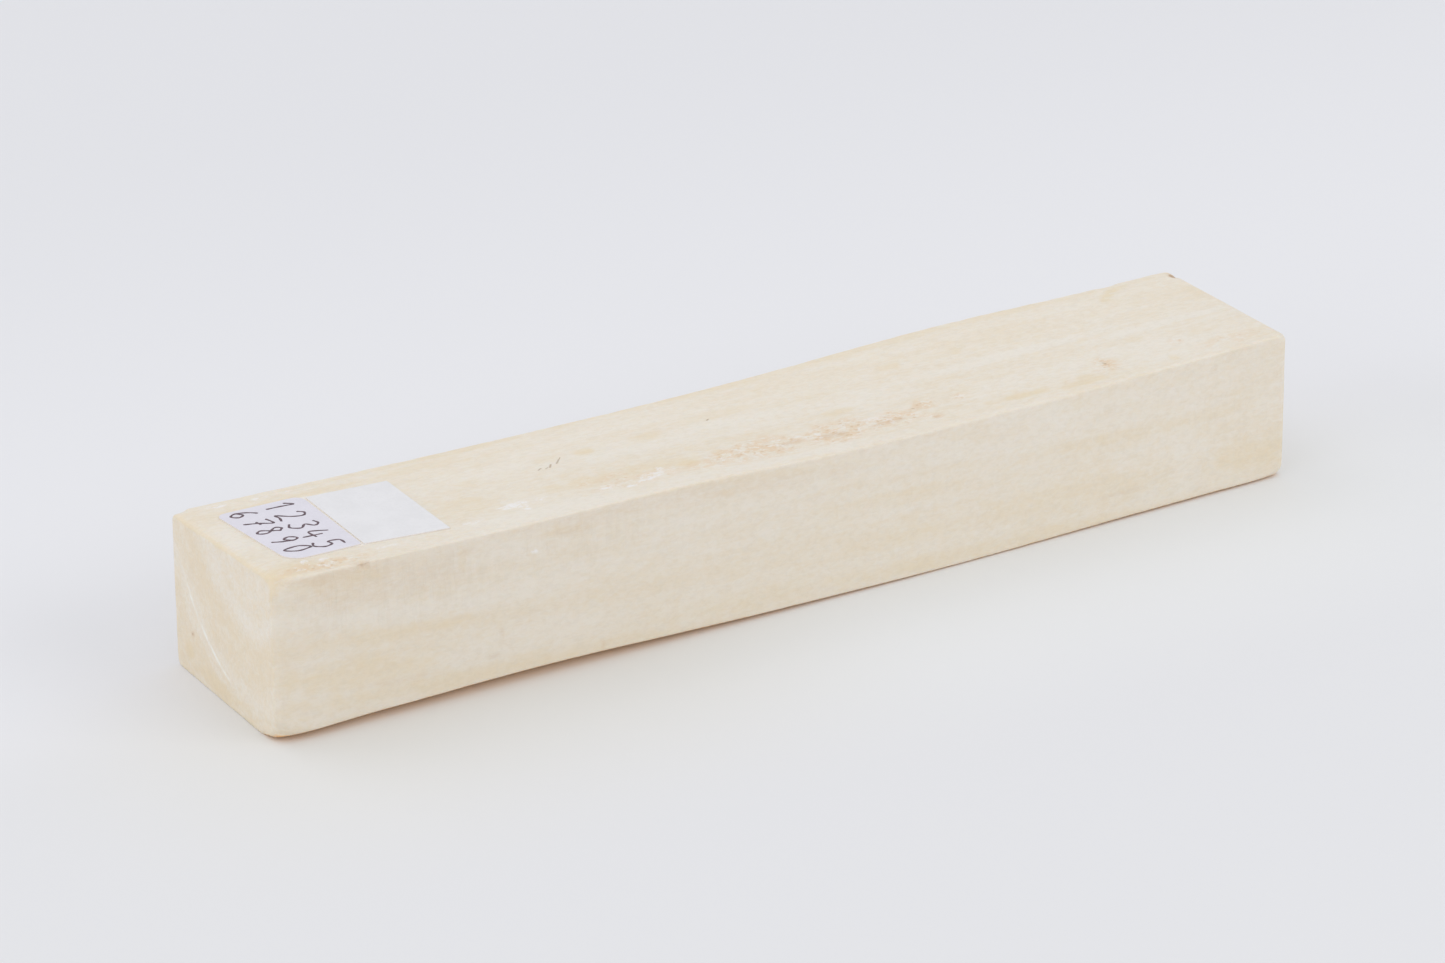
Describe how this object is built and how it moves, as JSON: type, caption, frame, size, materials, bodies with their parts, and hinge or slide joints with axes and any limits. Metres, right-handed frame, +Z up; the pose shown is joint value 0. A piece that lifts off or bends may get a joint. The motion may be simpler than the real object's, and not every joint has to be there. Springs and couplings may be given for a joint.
{
  "type": "mammoth ivory segment",
  "caption": "Hand-sawn rectangular bar of aged mammoth ivory with lengthwise streaks and curved growth bands on its sawn ends; raw stock for carving, inlay and turning.",
  "frame": {"origin": "middle of the bar's footprint, at floor level under its flat underside", "axes": "+X along the length, away from the end that carries the two labels; +Y across the width, from the side face that the picture shows to the hidden one; +Z up"},
  "size_m": [0.136, 0.0248, 0.0194],
  "materials": {
    "ivory": "satin",
    "written_paper": "matte",
    "plain_paper": "matte"
  },
  "bodies": {
    "root": {"ivory_bar": "ivory", "written_label": "written_paper", "plain_label": "plain_paper"}
  },
  "joints": []
}
